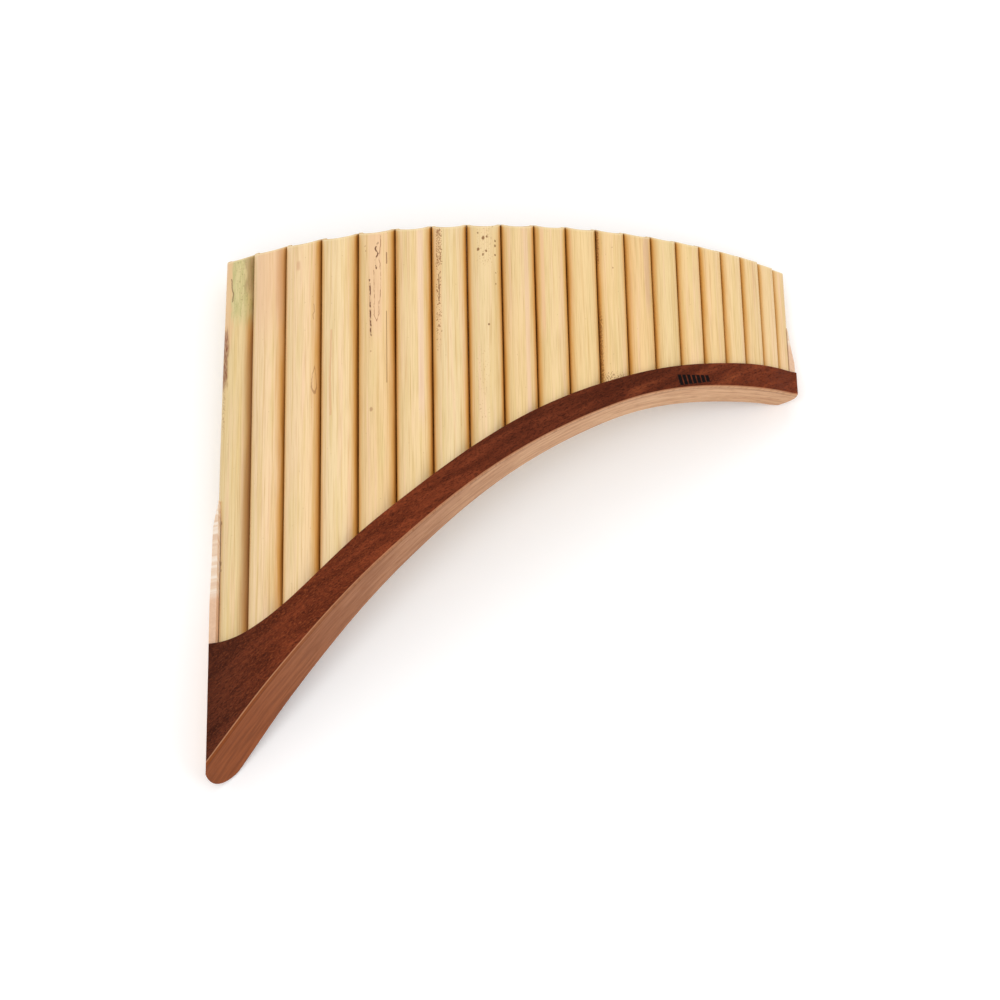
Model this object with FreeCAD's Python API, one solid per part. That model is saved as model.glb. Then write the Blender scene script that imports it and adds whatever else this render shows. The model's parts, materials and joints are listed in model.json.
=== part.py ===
import FreeCAD, Part
import math
import os

# Curved pan flute of twenty bamboo tubes, glued side by side and held at the foot by a wooden shoe.
#
# Frame: the flute lies on its hollow side. +X runs from the bass end to the treble end, +Y runs along
# the tubes to the mouths, and +Z points out of the bulging side. The origin is the middle of the
# bounding box's bottom face. Lengths are millimetres.
#
# The row is laid out in its own terms and moved to the frame at the end. A place on it is
#   along   distance along the arc of tube centres, from the outer side of the bass tube
#   radius  distance from the axis that the row bends around, which is parallel to the tubes
#   height  distance up the tubes, measured from the plane of the mouths, so it is negative on the wood
#   depth   distance behind the front face of the shoe

TUBE_COUNT = 20
ROW_RADIUS = 285.0
GLUE = 0.05                     # clear width left for each glue line

# Canes: the diameters fall evenly to the treble, and the last canes at both ends are thinner than that.
BASS_DIAMETER = 22.4
TREBLE_DIAMETER = 11.0
BASS_THINNING = (5.2, 2.6, 1.0, 0.3)
TREBLE_THINNING = (3.0, 1.2, 0.2)
WALL_BASE = 0.7
WALL_PER_DIAMETER = 0.07
MOUTH_BEVEL = math.radians(36.0)
BASS_MOUTHS_BELOW = (1.6, 0.9, 0.5, 0.4)      # how far the end canes' mouths lie below the rest
TREBLE_MOUTHS_BELOW = (1.6, 0.8)

# Tuning: a G major scale from G4. A stopped tube sounds at a quarter of its wavelength.
LOWEST_NOTE_HZ = 392.0
SCALE_SEMITONES = (0, 2, 4, 5, 7, 9, 11)
SPEED_OF_SOUND = 345000.0       # mm/s in warm breath
REAMING = 0.25                  # the cane is reamed this much wider below the air column
WAX_THICKNESS = 2.5
CORK_PER_BORE = 0.9
CORK_EXTRA = 2.0

# Shoe: the edges of the wood as (share of the row's length, height) and its depth as (share, depth).
FOOT_EDGE = ((-0.03, -305.0), (0.12, -252.5), (0.28, -199.0), (0.47, -146.2),
             (0.66, -108.8), (0.80, -92.0), (1.03, -78.0))
TOP_EDGE = ((-0.03, -229.2), (0.04, -229.9), (0.12, -218.9), (0.27, -177.4),
            (0.50, -121.0), (0.70, -89.0), (0.88, -72.2), (1.03, -65.0))
SHOE_DEPTH = ((-0.03, 27.2), (0.10, 27.0), (0.50, 24.2), (0.83, 21.6), (1.03, 15.8))
FRONT_BOARD = 3.0
RAIL_HEIGHT = 6.0
BLANK_PAST_BASS = 12.0          # how far the bent blanks run past the row before their ends are shaped
BLANK_PAST_TREBLE = 8.0
EDGE_ROUND = 0.8

# Ends of the shoe seen along the tubes, as (distance past the last tube, depth).
BASS_NOSE_FLAT = ((-3.4, -5.0), (3.8, 5.6))
BASS_NOSE_ROUND = ((3.8, 5.6), (5.1, 11.8), (3.8, 20.4), (-0.4, 25.5), (-6.5, 27.1))
TREBLE_NOSE_FLAT = ((-2.9, -5.0), (1.7, 3.0))
TREBLE_NOSE_ROUND = ((1.7, 3.0), (2.6, 6.5), (2.0, 10.5), (0.0, 15.6))

# Cheeks: how far each stands out beside its tube, as (height, distance past the tube).
CHEEK_REACH_IN = 2.0            # how far a cheek reaches in before and behind its cane
CHEEK_REACH_OUT = 8.0
BASS_CHEEK_PROFILE = ((-149.0, -CHEEK_REACH_IN), (-152.0, -1.6), (-157.0, -0.3), (-164.0, 1.0),
                      (-185.0, 1.4), (-201.0, 1.9), (-212.0, 3.0), (-229.0, 5.4))
TREBLE_CHEEK_PROFILE = ((-38.5, -CHEEK_REACH_IN), (-41.5, -1.3), (-49.0, -0.2), (-57.0, 1.2), (-66.0, 3.4))

ROW_TILT = math.radians(0.99)   # turns the row until both ends of the shoe stand on one plane
BELOW_SHOE = -340.0
FAR = 60.0


def tube_diameter(index):
    """Outer diameter of one cane, counted from the bass."""
    share = index / (TUBE_COUNT - 1)
    diameter = BASS_DIAMETER + (TREBLE_DIAMETER - BASS_DIAMETER) * share
    from_treble = TUBE_COUNT - 1 - index
    if index < len(BASS_THINNING):
        diameter -= BASS_THINNING[index]
    if from_treble < len(TREBLE_THINNING):
        diameter -= TREBLE_THINNING[from_treble]
    return diameter


DIAMETERS = [tube_diameter(index) for index in range(TUBE_COUNT)]
ROW_LENGTH = sum(DIAMETERS)
CENTRES = [sum(DIAMETERS[:index]) + DIAMETERS[index] / 2 for index in range(TUBE_COUNT)]
FIRST_ANGLE = ROW_TILT - ROW_LENGTH / ROW_RADIUS / 2


def mouth_height(index):
    """Height of one mouth's rear rim."""
    from_treble = TUBE_COUNT - 1 - index
    if index < len(BASS_MOUTHS_BELOW):
        return -BASS_MOUTHS_BELOW[index]
    if from_treble < len(TREBLE_MOUTHS_BELOW):
        return -TREBLE_MOUTHS_BELOW[from_treble]
    return 0.0


def bore_radius(index):
    """Inner radius of one cane over its air column."""
    outer = tube_diameter(index) - GLUE
    return outer / 2 - WALL_BASE - WALL_PER_DIAMETER * outer


def air_column(index):
    """Sounding length of one tube: a quarter wave, less the mouth's end correction of one radius."""
    octave, step = divmod(index, len(SCALE_SEMITONES))
    semitones = 12 * octave + SCALE_SEMITONES[step]
    frequency = LOWEST_NOTE_HZ * 2 ** (semitones / 12)
    return SPEED_OF_SOUND / frequency / 4 - bore_radius(index)


def wax_top(index):
    """Height of the floor of one air column."""
    return mouth_height(index) - air_column(index)


def smooth(points, x):
    """Height at x of the smooth curve that passes through the points."""
    slopes = []
    for index in range(len(points)):
        before = points[max(index - 1, 0)]
        after = points[min(index + 1, len(points) - 1)]
        slopes.append((after[1] - before[1]) / (after[0] - before[0]))
    left = 0
    while left < len(points) - 2 and points[left + 1][0] <= x:
        left += 1
    start, end = points[left], points[left + 1]
    span = end[0] - start[0]
    t = (x - start[0]) / span
    rise = (3 - 2 * t) * t * t
    lean_out = t * (1 - t) ** 2 * span * slopes[left]
    lean_in = t * t * (t - 1) * span * slopes[left + 1]
    return start[1] + (end[1] - start[1]) * rise + lean_out + lean_in


def point(along, radius, height):
    """A place on the row, as a vector."""
    angle = FIRST_ANGLE + along / ROW_RADIUS
    return FreeCAD.Vector(radius * math.sin(angle), height, radius * math.cos(angle))


def crest(along):
    """Half the cane's diameter at a place along the row, smoothed from tube to tube."""
    halves = [(CENTRES[index], DIAMETERS[index] / 2) for index in range(TUBE_COUNT)]
    inside = min(max(along, CENTRES[0]), CENTRES[-1])
    return smooth(halves, inside)


def front_face(along):
    return ROW_RADIUS + crest(along) + GLUE + FRONT_BOARD


def front_board_back(along):
    return ROW_RADIUS + crest(along) + GLUE


def back_face(along):
    return front_face(along) - smooth(SHOE_DEPTH, along / ROW_LENGTH)


def back_board_front(along):
    """The back board thickens towards the treble, where the canes no longer fill the shoe's depth."""
    return min(ROW_RADIUS - crest(along) - GLUE, front_board_back(along) - 2 * GLUE)


def foot_edge(along):
    return smooth(FOOT_EDGE, along / ROW_LENGTH)


def rail_top(along):
    return foot_edge(along) + RAIL_HEIGHT


def top_edge(along):
    return smooth(TOP_EDGE, along / ROW_LENGTH)


def bent_bar(inner, outer, low, high):
    """A bar bent along the row. Each side is a function of the distance along."""
    stations = [-BLANK_PAST_BASS, 0.0] + CENTRES + [ROW_LENGTH, ROW_LENGTH + BLANK_PAST_TREBLE]
    sections = []
    for along in stations:
        corners = [point(along, inner(along), low(along)),
                   point(along, outer(along), low(along)),
                   point(along, outer(along), high(along)),
                   point(along, inner(along), high(along))]
        sections.append(Part.makePolygon(corners + corners[:1]))
    return Part.makeLoft(sections, True, False)


def end_place(end, outward, radius, height):
    """A place beside one end of the row, by its distance straight out past the last tube's side."""
    edge = 0.0 if end == "bass" else ROW_LENGTH
    base = point(edge, radius, height)
    ahead = point(edge, 1.0, 0).cross(FreeCAD.Vector(0, -1, 0))
    return base + ahead * (-outward if end == "bass" else outward)


def nose_point(end, outward, depth):
    """A point of the shoe's plan outline, by its distance past the last tube and its depth."""
    edge = 0.0 if end == "bass" else ROW_LENGTH
    return end_place(end, outward, front_face(edge) - depth, 0)


def nose_edges(end, flat, rounding):
    """One end of the shoe's plan outline: a flat near the front, then a round to the back."""
    straight = Part.LineSegment(nose_point(end, *flat[0]), nose_point(end, *flat[1]))
    curve = Part.BSplineCurve()
    curve.interpolate([nose_point(end, *place) for place in rounding])
    return [straight.toShape(), curve.toShape()]


def shoe_plan():
    """A tall block whose ends have the shoe's rounded outline and whose other sides are clear of it."""
    bass = nose_edges("bass", BASS_NOSE_FLAT, BASS_NOSE_ROUND)
    treble = nose_edges("treble", TREBLE_NOSE_FLAT, TREBLE_NOSE_ROUND)
    bass_front = nose_point("bass", *BASS_NOSE_FLAT[0])
    treble_front = nose_point("treble", *TREBLE_NOSE_FLAT[0])
    bass_back = nose_point("bass", *BASS_NOSE_ROUND[-1])
    treble_back = nose_point("treble", *TREBLE_NOSE_ROUND[-1])
    over = point(ROW_LENGTH / 2, ROW_RADIUS + FAR, 0)
    under = point(ROW_LENGTH / 2, ROW_RADIUS - FAR, 0)
    front = Part.Arc(bass_front, over, treble_front).toShape()
    back = Part.Arc(treble_back, under, bass_back).toShape()
    wire = Part.Wire(Part.__sortEdges__(bass + treble + [front, back]))
    block = Part.Face(wire).extrude(FreeCAD.Vector(0, -BELOW_SHOE, 0))
    block.translate(FreeCAD.Vector(0, BELOW_SHOE, 0))
    return block


def below_rail():
    """Everything under the rail's upper face, where no cane reaches."""
    return bent_bar(lambda along: ROW_RADIUS - FAR, lambda along: ROW_RADIUS + FAR,
                    lambda along: BELOW_SHOE, lambda along: rail_top(along) + GLUE)


def upright_cylinder(index, radius, low, high):
    """A cylinder on a tube's axis between two heights."""
    base = point(CENTRES[index], ROW_RADIUS, low)
    return Part.makeCylinder(radius, high - low, base, FreeCAD.Vector(0, 1, 0))


def mouth_bevel(index):
    """The wedge that is ground off the front half of a mouth."""
    reach = DIAMETERS[index]
    hinge = point(CENTRES[index], ROW_RADIUS, mouth_height(index))
    outward = point(CENTRES[index], ROW_RADIUS + 1, mouth_height(index)) - hinge
    sideways = outward.cross(FreeCAD.Vector(0, 1, 0))
    drop = FreeCAD.Vector(0, -reach * math.tan(MOUTH_BEVEL), 0)
    start = hinge - sideways * reach
    corners = [start, start + outward * reach + drop, start + outward * reach, start]
    return Part.Face(Part.makePolygon(corners)).extrude(sideways * (2 * reach))


def make_tube(index, foot_cutter):
    """One cane: bored to its air column, reamed below it, bevelled in front and cut to the rail."""
    outer = (DIAMETERS[index] - GLUE) / 2
    bore = bore_radius(index)
    floor = wax_top(index)
    cane = upright_cylinder(index, outer, BELOW_SHOE, mouth_height(index))
    cane = cane.cut(upright_cylinder(index, bore, floor, 1))
    cane = cane.cut(upright_cylinder(index, bore + REAMING, BELOW_SHOE - 1, floor))
    cane = cane.cut(mouth_bevel(index))
    return cane.cut(foot_cutter)


def make_wax(index):
    """The beeswax that closes and tunes one air column, on top of the cork."""
    floor = wax_top(index)
    return upright_cylinder(index, bore_radius(index) + REAMING, floor - WAX_THICKNESS, floor)


def make_cork(index):
    """The cork stopper pushed up from the foot of one cane."""
    top = wax_top(index) - WAX_THICKNESS
    length = CORK_PER_BORE * 2 * bore_radius(index) + CORK_EXTRA
    return upright_cylinder(index, bore_radius(index) + REAMING, top - length, top)


def rounded(piece, face_radius, *lines):
    """Softens the long edges where a piece's outer face meets its upper or lower line."""
    chosen = []
    for edge in piece.Edges:
        middle = edge.valueAt((edge.FirstParameter + edge.LastParameter) / 2)
        along = (math.atan2(middle.x, middle.z) - FIRST_ANGLE) * ROW_RADIUS
        off_face = abs(math.hypot(middle.x, middle.z) - face_radius(along))
        off_line = min(abs(middle.y - line(along)) for line in lines)
        if edge.Length > ROW_LENGTH / 2 and off_face < EDGE_ROUND / 2 and off_line < EDGE_ROUND / 2:
            chosen.append(edge)
    return piece.makeFillet(EDGE_ROUND, chosen)


def make_front_board(plan):
    """The curved board over the front of the canes' feet."""
    board = bent_bar(front_board_back, front_face, foot_edge, top_edge)
    return rounded(board.common(plan), front_face, foot_edge, top_edge)


def make_back_board(plan):
    """The matching board behind the canes. It stands on the rail."""
    board = bent_bar(back_face, back_board_front, lambda along: rail_top(along) + GLUE, top_edge)
    return rounded(board.common(plan), back_face, top_edge)


def make_rail(plan):
    """The strip behind the front board that closes the foot under the canes and the back board."""
    rail = bent_bar(back_face, lambda along: front_board_back(along) - GLUE, foot_edge, rail_top)
    return rounded(rail.common(plan), back_face, foot_edge)


def cheek_blank(end, profile):
    """The cheek seen square to the row: a strip that tapers into the cane at its upper end."""
    outline = [end_place(end, outward, ROW_RADIUS - FAR, height) for height, outward in profile]
    outline += [end_place(end, CHEEK_REACH_OUT, ROW_RADIUS - FAR, profile[-1][0] - CHEEK_REACH_OUT),
                end_place(end, CHEEK_REACH_OUT, ROW_RADIUS - FAR, BELOW_SHOE),
                end_place(end, -CHEEK_REACH_IN, ROW_RADIUS - FAR, BELOW_SHOE)]
    face = Part.Face(Part.makePolygon(outline + outline[:1]))
    through = end_place(end, 0, ROW_RADIUS + FAR, 0) - end_place(end, 0, ROW_RADIUS - FAR, 0)
    return face.extrude(through)


def make_cheek(end, profile, plan, foot_cutter):
    """The pale cheek that fills the shoe beside an end tube and runs up the cane above it."""
    between_boards = bent_bar(lambda along: back_board_front(along) + GLUE,
                              lambda along: front_board_back(along) - GLUE,
                              foot_edge, lambda along: 0)
    index = 0 if end == "bass" else TUBE_COUNT - 1
    cane = upright_cylinder(index, DIAMETERS[index] / 2 + GLUE, BELOW_SHOE, 1)
    cheek = cheek_blank(end, profile).common(between_boards).common(plan)
    return cheek.cut(cane).cut(foot_cutter)


def to_frame(shapes):
    """Moves every shape so that the origin is the middle of the bottom of the bounding box."""
    box = Part.makeCompound(shapes).optimalBoundingBox()
    shift = FreeCAD.Vector(-(box.XMin + box.XMax) / 2, -(box.YMin + box.YMax) / 2, -box.ZMin)
    for shape in shapes:
        shape.translate(shift)


def main():
    os.makedirs("parts", exist_ok=True)
    plan = shoe_plan()
    foot_cutter = below_rail()
    parts = {}
    for index in range(TUBE_COUNT):
        parts["tube_%02d" % (index + 1)] = make_tube(index, foot_cutter)
        parts["cork_%02d" % (index + 1)] = make_cork(index)
    parts["beeswax_plugs"] = Part.makeCompound([make_wax(index) for index in range(TUBE_COUNT)])
    parts["front_board"] = make_front_board(plan)
    parts["back_board"] = make_back_board(plan)
    parts["bottom_rail"] = make_rail(plan)
    parts["bass_cheek"] = make_cheek("bass", BASS_CHEEK_PROFILE, plan, foot_cutter)
    parts["treble_cheek"] = make_cheek("treble", TREBLE_CHEEK_PROFILE, plan, foot_cutter)
    to_frame(list(parts.values()))
    for name, shape in parts.items():
        shape.exportStep("parts/" + name + ".step")


main()
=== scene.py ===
import json
import math

import bpy
from mathutils import Matrix, Vector


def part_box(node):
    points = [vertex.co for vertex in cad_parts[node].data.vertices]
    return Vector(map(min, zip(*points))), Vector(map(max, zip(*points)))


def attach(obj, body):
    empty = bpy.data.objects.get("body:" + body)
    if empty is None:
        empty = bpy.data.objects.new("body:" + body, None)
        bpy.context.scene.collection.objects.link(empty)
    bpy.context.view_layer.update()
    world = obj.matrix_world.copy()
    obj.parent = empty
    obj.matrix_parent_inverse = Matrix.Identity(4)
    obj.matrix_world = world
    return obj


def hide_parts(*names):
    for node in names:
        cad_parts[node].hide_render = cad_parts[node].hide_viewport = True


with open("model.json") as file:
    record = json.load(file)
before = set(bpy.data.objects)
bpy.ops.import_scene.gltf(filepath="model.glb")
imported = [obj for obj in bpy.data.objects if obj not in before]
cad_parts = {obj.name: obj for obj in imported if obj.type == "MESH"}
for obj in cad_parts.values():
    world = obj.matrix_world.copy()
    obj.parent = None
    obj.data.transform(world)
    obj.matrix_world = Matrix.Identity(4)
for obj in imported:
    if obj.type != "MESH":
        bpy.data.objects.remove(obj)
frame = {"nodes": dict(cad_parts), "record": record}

# Looks of the curved pan flute: canes, shoe, cheeks, wax and corks, a floor, lights and a camera.
# Lengths are metres unless a name ends in _MM. Places on a cane are (angle in degrees from its outward
# side, positive towards the treble; millimetres below its mouth).

MM = 0.001
TUBES = ["tube_%02d" % number for number in range(1, 21)]
MOUNTS = {mount["name"]: mount for mount in frame["record"]["mounts"]}

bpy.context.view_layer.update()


# ---------------------------------------------------------------- places worked out from the frame

def flat_centre(node):
    """Centre of a node's box in plan, as a vector in X and Z."""
    low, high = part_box(node)
    return Vector(((low[0] + high[0]) / 2, (low[2] + high[2]) / 2))


def circle_centre(a, b, c):
    """Centre of the circle through three plan points."""
    twice = 2 * (a.x * (b.y - c.y) + b.x * (c.y - a.y) + c.x * (a.y - b.y))
    x = (a.length_squared * (b.y - c.y) + b.length_squared * (c.y - a.y)
         + c.length_squared * (a.y - b.y)) / twice
    y = (a.length_squared * (c.x - b.x) + b.length_squared * (a.x - c.x)
         + c.length_squared * (b.x - a.x)) / twice
    return Vector((x, y))


AXIS = circle_centre(flat_centre(TUBES[0]), flat_centre(TUBES[9]), flat_centre(TUBES[-1]))
ROW_RADIUS = (flat_centre(TUBES[9]) - AXIS).length


class Cane:
    """Where one cane is, as the frame says."""

    def __init__(self, index):
        low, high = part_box(TUBES[index])
        mount = MOUNTS["mouth_%02d" % (index + 1)]
        self.index = index
        self.centre = flat_centre(TUBES[index])
        self.out = (self.centre - AXIS).normalized()
        self.side = Vector((self.out.y, -self.out.x))
        self.radius = (high[0] - low[0]) / 2
        self.mouth = high[1]
        self.foot = low[1]
        self.bore = mount["dims"]["r_mm"] * MM
        self.floor = self.mouth - mount["dims"]["length_mm"] * MM

    def place(self, side, out, height):
        """A point by its distance sideways and outwards from the cane's axis, at a height along Y."""
        flat = self.centre + self.side * side + self.out * out
        return Vector((flat.x, height, flat.y))


CANES = [Cane(index) for index in range(len(TUBES))]


def foot_slope(index):
    """Rise of the rail under a cane, per metre along the row."""
    before = CANES[max(index - 1, 0)]
    after = CANES[min(index + 1, len(CANES) - 1)]
    return (after.foot - before.foot) / (after.centre - before.centre).length


# ---------------------------------------------------------------- canes as meshes

SEGMENTS = 64
RING_STEP = 5 * MM
BEVEL = math.tan(math.radians(36))
HINGE_SOFTNESS = 0.5 * MM
RIM_ROUND = 0.35 * MM
REAMING = 0.25 * MM
UNEVENNESS = 0.16 * MM
GLUE_LINE = 0.024 * MM          # squeezed-out glue closes the line between two canes
# The bass cane swells on its free side, as (millimetres below the mouth, swelling in millimetres).
BASS_SWELLING = ((0, -0.5), (30, 0.0), (75, 1.0), (120, 1.6), (146, 1.7), (160, 0.3), (300, 0.0))


def between(points, x):
    """Straight-line value at x between points."""
    for (x0, y0), (x1, y1) in zip(points, points[1:]):
        if x <= x1:
            return y0 + (y1 - y0) * max(0.0, x - x0) / (x1 - x0)
    return points[-1][1]


def bevel_drop(outward):
    """How far the mouth has been ground away at a distance outwards from the cane's axis."""
    softened = (outward + math.hypot(outward, HINGE_SOFTNESS)) / 2
    return BEVEL * softened


def outer_radius(cane, angle, below):
    """A cane is not quite round or straight, so its radius dips a little, but not where canes touch."""
    phase = cane.index * 1.7
    wave = math.sin(2 * angle + phase) * math.sin(below / 0.037 + phase)
    wave += 0.6 * math.sin(3 * angle - phase + below / 0.021)
    radius = cane.radius - UNEVENNESS * (0.5 + 0.5 * wave / 1.6) * math.cos(angle) ** 2
    radius += GLUE_LINE * math.sin(angle) ** 2
    if cane.index == 0:
        free_side = max(0.0, -math.sin(angle)) ** 1.5
        radius += between(BASS_SWELLING, below / MM) * MM * free_side
    return radius


def cane_rings(cane):
    """Rings of (angle, radius, height) from the foot up the outside, over the rim and down the bore."""
    slope = foot_slope(cane.index)
    bore = cane.bore
    angles = [2 * math.pi * k / SEGMENTS for k in range(SEGMENTS)]

    def top(angle, radius):
        return cane.mouth - bevel_drop(radius * math.cos(angle))

    def foot(angle, radius):
        return cane.foot + slope * (math.sin(angle) * radius + cane.radius)

    rings = []
    count = max(6, int((cane.mouth - cane.foot) / RING_STEP))
    for step in range(count + 1):
        ring = []
        for angle in angles:
            high = top(angle, cane.radius) - RIM_ROUND
            low = foot(angle, cane.radius)
            height = low + (high - low) * step / count
            ring.append((angle, outer_radius(cane, angle, cane.mouth - height), height))
        rings.append(ring)
    for inset, sink in ((0.3, 0.3), (1.0, 0.0), (2.2, 0.0)):
        ring = []
        for angle in angles:
            radius = outer_radius(cane, angle, 0.0) - inset * RIM_ROUND
            ring.append((angle, radius, top(angle, radius) - sink * RIM_ROUND))
        rings.append(ring)
    for outset, sink in ((0.8, 0.0), (0.2, 0.25), (0.0, 0.9)):
        radius = bore + outset * RIM_ROUND
        rings.append([(angle, radius, top(angle, radius) - sink * RIM_ROUND) for angle in angles])
    count = max(4, int((cane.mouth - cane.floor) / (4 * RING_STEP)))
    for step in range(1, count + 1):
        ring = []
        for angle in angles:
            high = top(angle, bore) - RIM_ROUND
            ring.append((angle, bore, high + (cane.floor - high) * step / count))
        rings.append(ring)
    reamed = bore + REAMING
    rings.append([(angle, reamed, cane.floor) for angle in angles])
    rings.append([(angle, reamed, foot(angle, reamed)) for angle in angles])
    return rings


OUTSIDE, CUT, BORE = 0, 1, 2


def make_cane(cane, materials):
    """One cane as a closed mesh. Its UV map holds arc length and distance below the mouth, in mm."""
    rings = cane_rings(cane)
    outside_rings = max(6, int((cane.mouth - cane.foot) / RING_STEP)) + 2
    vertices = []
    for ring in rings:
        for angle, radius, height in ring:
            vertices.append(cane.place(math.sin(angle) * radius, math.cos(angle) * radius, height))
    faces = []
    uvs = []
    finishes = []
    for row in range(len(rings)):
        above = (row + 1) % len(rings)
        for k in range(SEGMENTS):
            next_k = (k + 1) % SEGMENTS
            faces.append((row * SEGMENTS + k, row * SEGMENTS + next_k,
                          above * SEGMENTS + next_k, above * SEGMENTS + k))
            for ring_index, corner, turn in ((row, k, k), (row, next_k, k + 1),
                                             (above, next_k, k + 1), (above, k, k)):
                angle, radius, height = rings[ring_index][corner]
                turned = 2 * math.pi * turn / SEGMENTS
                if turned > math.pi + 0.001 or (turned > math.pi - 0.001 and k >= SEGMENTS / 2):
                    turned -= 2 * math.pi
                uvs.append((turned * cane.radius / MM, (cane.mouth - height) / MM))
            if row < outside_rings - 1:
                finishes.append(OUTSIDE)
            elif row < outside_rings + 4:
                finishes.append(CUT)
            else:
                finishes.append(BORE)
    mesh = bpy.data.meshes.new("cane_%02d" % (cane.index + 1))
    mesh.from_pydata(vertices, [], faces)
    layer = mesh.uv_layers.new(name="cane")
    for loop, uv in zip(layer.data, uvs):
        loop.uv = uv
    for material in materials:
        mesh.materials.append(material)
    for polygon, finish in zip(mesh.polygons, finishes):
        polygon.material_index = finish
        polygon.use_smooth = True
    mesh.set_sharp_from_angle(angle=math.radians(35))
    mesh.validate()
    obj = bpy.data.objects.new(mesh.name, mesh)
    bpy.context.collection.objects.link(obj)
    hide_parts(TUBES[cane.index])
    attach(obj, "root")
    return obj


# ---------------------------------------------------------------- material building blocks

def linear(red, green, blue):
    """A colour as the eye reads it on a screen, 0 to 255, made linear for the shader."""
    result = []
    for value in (red, green, blue):
        share = value / 255
        result.append(share / 12.92 if share <= 0.04045 else ((share + 0.055) / 1.055) ** 2.4)
    return (*result, 1.0)


class Finish:
    """One material and the short calls that build its nodes."""

    def __init__(self, name):
        self.material = bpy.data.materials.new(name)
        self.material.use_nodes = True
        self.tree = self.material.node_tree
        self.shader = self.tree.nodes["Principled BSDF"]

    def node(self, kind, inputs=(), **settings):
        made = self.tree.nodes.new(kind)
        for key, value in settings.items():
            setattr(made, key, value)
        for key, value in inputs:
            self.feed(made.inputs[key], value)
        return made

    def feed(self, socket, value):
        if isinstance(value, bpy.types.NodeSocket):
            self.tree.links.new(value, socket)
        else:
            socket.default_value = value

    def math(self, operation, first, second=0.0, clamp=False):
        made = self.node("ShaderNodeMath", ((0, first), (1, second)), operation=operation, use_clamp=clamp)
        return made.outputs[0]

    def add(self, first, second):
        return self.math("ADD", first, second)

    def times(self, first, second):
        return self.math("MULTIPLY", first, second)

    def less(self, first, second):
        return self.math("SUBTRACT", first, second)

    def vector(self, x, y, z):
        return self.node("ShaderNodeCombineXYZ", ((0, x), (1, y), (2, z))).outputs[0]

    def split(self, vector):
        return self.node("ShaderNodeSeparateXYZ", ((0, vector),)).outputs

    def step(self, value, low, high, start=0.0, end=1.0):
        """A smooth change from start to end while value goes from low to high."""
        made = self.node("ShaderNodeMapRange", (("Value", value), ("From Min", low), ("From Max", high),
                                                ("To Min", start), ("To Max", end)),
                         interpolation_type="SMOOTHSTEP")
        return made.outputs[0]

    def band(self, value, centre, half, soft):
        """1 within half of the centre, falling to 0 over the soft distance."""
        away = self.math("ABSOLUTE", self.less(value, centre))
        return self.step(away, half, half + soft, 1.0, 0.0)

    def follow(self, value, points):
        """The straight-line curve through points, at value."""
        result = points[0][1]
        for (x0, y0), (x1, y1) in zip(points, points[1:]):
            made = self.node("ShaderNodeMapRange", (("Value", value), ("From Min", x0), ("From Max", x1),
                                                    ("To Min", 0.0), ("To Max", y1 - y0)))
            result = self.add(made.outputs[0], result)
        return result

    def most(self, first, second):
        return self.math("MAXIMUM", first, second)

    def noise(self, vector, scale=1.0, detail=2.0, roughness=0.5, distortion=0.0):
        made = self.node("ShaderNodeTexNoise", (("Vector", vector), ("Scale", scale), ("Detail", detail),
                                                ("Roughness", roughness), ("Distortion", distortion)))
        return made.outputs["Fac"]

    def specks(self, vector, scale=1.0):
        """Distance to the nearest of many scattered points, and a random number for each."""
        made = self.node("ShaderNodeTexVoronoi", (("Vector", vector), ("Scale", scale)))
        return made.outputs["Distance"], self.split(made.outputs["Color"])[0]

    def mix(self, share, first, second, blend="MIX"):
        made = self.node("ShaderNodeMix", data_type="RGBA", blend_type=blend, clamp_factor=True)
        self.feed(made.inputs[0], share)
        self.feed(made.inputs[6], first)
        self.feed(made.inputs[7], second)
        return made.outputs[2]

    def ramp(self, value, *stops):
        made = self.node("ShaderNodeValToRGB", (("Fac", value),))
        elements = made.color_ramp.elements
        while len(elements) < len(stops):
            elements.new(0.5)
        for element, (place, colour) in zip(elements, stops):
            element.position = place
            element.color = colour
        return made.outputs["Color"]

    def bump(self, height, distance, strength=1.0, under=None):
        made = self.node("ShaderNodeBump",
                         (("Height", height), ("Distance", distance), ("Strength", strength)))
        if under is not None:
            self.feed(made.inputs["Normal"], under)
        return made.outputs["Normal"]

    def finish(self, colour, roughness, normal, specular=0.5, coat=0.0, coat_roughness=0.2):
        self.feed(self.shader.inputs["Base Color"], colour)
        self.feed(self.shader.inputs["Roughness"], roughness)
        self.feed(self.shader.inputs["Normal"], normal)
        self.shader.inputs["Specular IOR Level"].default_value = specular
        self.shader.inputs["Coat Weight"].default_value = coat
        self.shader.inputs["Coat Roughness"].default_value = coat_roughness
        return self.material


# ---------------------------------------------------------------- cane materials

# Tint of each cane's skin, from the bass.
CANE_TINTS = (
    (230, 203, 152), (240, 208, 164), (240, 209, 163), (240, 212, 164), (236, 202, 151),
    (238, 208, 157), (236, 209, 160), (234, 206, 156), (237, 205, 153), (236, 206, 152),
    (238, 206, 151), (240, 206, 153), (237, 200, 144), (234, 205, 151), (238, 205, 148),
    (238, 204, 149), (238, 207, 155), (235, 204, 153), (236, 205, 155), (234, 202, 152),
)
SKIN_ROSE = linear(240, 200, 164)
SKIN_STRAW = linear(224, 192, 130)
SKIN_OLIVE = linear(226, 200, 142)
# Flank and groove colours: partly brown stain, partly painted shade where each cane is hidden from the light
# by its neighbour.
FLANK_STAIN_AND_SHADE = linear(218, 164, 78)
FLANK_DEEP_STAIN_AND_SHADE = linear(168, 106, 34)
GROOVE_STAIN_AND_SHADE = linear(96, 50, 12)
MARK = linear(112, 62, 34)


def cane_coordinates(look):
    """Arc and distance below the mouth, in mm, from the cane's UV map."""
    place = look.node("ShaderNodeUVMap", uv_map="cane").outputs[0]
    split = look.split(place)
    return split[0], split[1]


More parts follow.
